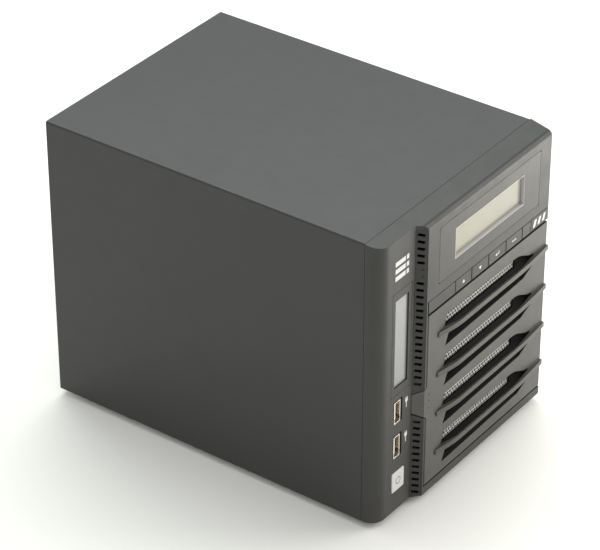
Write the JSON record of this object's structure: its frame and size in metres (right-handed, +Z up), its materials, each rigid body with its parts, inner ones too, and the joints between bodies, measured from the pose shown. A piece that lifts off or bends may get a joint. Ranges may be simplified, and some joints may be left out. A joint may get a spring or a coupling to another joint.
{
  "type": "nas enclosure",
  "caption": "Desktop network storage enclosure with louvred hinged front door, status displays, front ports, key row and stacked drive trays.",
  "frame": {"origin": "middle of the overall footprint, on the surface that the feet stand on", "axes": "+Z up; the front with its door faces -Y; +X to the right seen from the front"},
  "size_m": [0.192, 0.283, 0.221],
  "materials": {
    "cover_paint": "fine-textured dark powder coat",
    "bezel_plastic": "satin moulded ABS",
    "door_plastic": "satin moulded ABS",
    "key_plastic": "satin moulded ABS, printed symbol",
    "vent_plastic": "matt black ABS",
    "display_glass": "unlit display behind clear acrylic",
    "zinc_steel": "zinc-coated sheet steel",
    "bright_steel": "nickel-plated steel",
    "mesh_metal": "perforated sheet",
    "button_paint": "silver-painted plastic",
    "rubber": "moulded rubber",
    "circuit_board": "solder-masked glass fibre",
    "black_plastic": "moulded plastic",
    "tray_plastic": "moulded ABS",
    "drive_metal": "cast and machined aluminium"
  },
  "bodies": {
    "root": {"backplane_board": "circuit_board", "base_chassis": "zinc_steel", "board_pillars": "bright_steel", "board_tray": "zinc_steel", "catch_plate": "bright_steel", "cpu_heatsink": "drive_metal", "door_hinge_pins": "bright_steel", "drive_cage": "zinc_steel", "drive_connectors": "black_plastic", "fan_frame": "black_plastic", "fan_guard": "bright_steel", "fan_screws": "bright_steel", "front_bezel": "bezel_plastic", "front_io_board": "circuit_board", "front_usb_ports": "bright_steel", "hard_drive_1": "drive_metal", "hard_drive_2": "drive_metal", "hard_drive_3": "drive_metal", "hard_drive_4": "drive_metal", "key_blanks": "bezel_plastic", "key_board": "circuit_board", "label_plate": "bezel_plastic", "lcd_board": "circuit_board", "lcd_cover": "bezel_plastic", "lcd_display": "display_glass", "main_board": "circuit_board", "memory_module": "circuit_board", "outer_cover": "cover_paint", "power_inlet": "black_plastic", "power_switch": "black_plastic", "rear_panel": "zinc_steel", "rear_ports": "bright_steel", "rubber_feet": "rubber", "status_cover": "bezel_plastic", "status_display": "display_glass", "thumbscrews": "bright_steel", "tray_1": "tray_plastic", "tray_2": "tray_plastic", "tray_3": "tray_plastic", "tray_4": "tray_plastic", "vent_strip_lower": "vent_plastic", "vent_strip_upper": "vent_plastic"},
    "door": {"front_door": "door_plastic", "door_liner": "vent_plastic", "door_mesh": "mesh_metal", "door_magnet": "black_plastic"},
    "key_up": {"key_up": "key_plastic"},
    "key_down": {"key_down": "key_plastic"},
    "key_enter": {"key_enter": "key_plastic"},
    "key_back": {"key_back": "key_plastic"},
    "power_button": {"power_button": "button_paint"},
    "fan_rotor": {"fan_rotor": "black_plastic"},
    "tray_lock_1": {"tray_lock_1": "bright_steel"},
    "tray_release_1": {"tray_release_1": "tray_plastic"},
    "tray_lock_2": {"tray_lock_2": "bright_steel"},
    "tray_release_2": {"tray_release_2": "tray_plastic"},
    "tray_lock_3": {"tray_lock_3": "bright_steel"},
    "tray_release_3": {"tray_release_3": "tray_plastic"},
    "tray_lock_4": {"tray_lock_4": "bright_steel"},
    "tray_release_4": {"tray_release_4": "tray_plastic"}
  },
  "joints": [
    {"name": "door_hinge", "type": "hinge", "parent": "root", "child": "door", "pos_m": [0.093, -0.129, 0.0795], "axis": [0, 0, 1], "range_deg": [0, 110]},
    {"name": "key_up_press", "type": "slide", "parent": "root", "child": "key_up", "axis": [0, 1, 0], "range_m": [0, 0.0008], "stiffness_N_per_m": 300},
    {"name": "key_down_press", "type": "slide", "parent": "root", "child": "key_down", "axis": [0, 1, 0], "range_m": [0, 0.0008], "stiffness_N_per_m": 300},
    {"name": "key_enter_press", "type": "slide", "parent": "root", "child": "key_enter", "axis": [0, 1, 0], "range_m": [0, 0.0008], "stiffness_N_per_m": 300},
    {"name": "key_back_press", "type": "slide", "parent": "root", "child": "key_back", "axis": [0, 1, 0], "range_m": [0, 0.0008], "stiffness_N_per_m": 300},
    {"name": "power_button_press", "type": "slide", "parent": "root", "child": "power_button", "axis": [0, 1, 0], "range_m": [0, 0.0015], "stiffness_N_per_m": 300},
    {"name": "fan_spin", "type": "hinge", "parent": "root", "child": "fan_rotor", "pos_m": [0.012, 0.1248, 0.151], "axis": [0, 1, 0], "continuous": true},
    {"name": "tray_lock_1_turn", "type": "hinge", "parent": "root", "child": "tray_lock_1", "pos_m": [0.0778, -0.124, 0.03218], "axis": [0, 1, 0], "range_deg": [0, 90]},
    {"name": "tray_release_1_press", "type": "slide", "parent": "root", "child": "tray_release_1", "axis": [0, 1, 0], "range_m": [0, 0.0012], "stiffness_N_per_m": 300},
    {"name": "tray_lock_2_turn", "type": "hinge", "parent": "root", "child": "tray_lock_2", "pos_m": [0.0778, -0.124, 0.06373], "axis": [0, 1, 0], "range_deg": [0, 90]},
    {"name": "tray_release_2_press", "type": "slide", "parent": "root", "child": "tray_release_2", "axis": [0, 1, 0], "range_m": [0, 0.0012], "stiffness_N_per_m": 300},
    {"name": "tray_lock_3_turn", "type": "hinge", "parent": "root", "child": "tray_lock_3", "pos_m": [0.0778, -0.124, 0.09527], "axis": [0, 1, 0], "range_deg": [0, 90]},
    {"name": "tray_release_3_press", "type": "slide", "parent": "root", "child": "tray_release_3", "axis": [0, 1, 0], "range_m": [0, 0.0012], "stiffness_N_per_m": 300},
    {"name": "tray_lock_4_turn", "type": "hinge", "parent": "root", "child": "tray_lock_4", "pos_m": [0.0778, -0.124, 0.12682], "axis": [0, 1, 0], "range_deg": [0, 90]},
    {"name": "tray_release_4_press", "type": "slide", "parent": "root", "child": "tray_release_4", "axis": [0, 1, 0], "range_m": [0, 0.0012], "stiffness_N_per_m": 300}
  ]
}
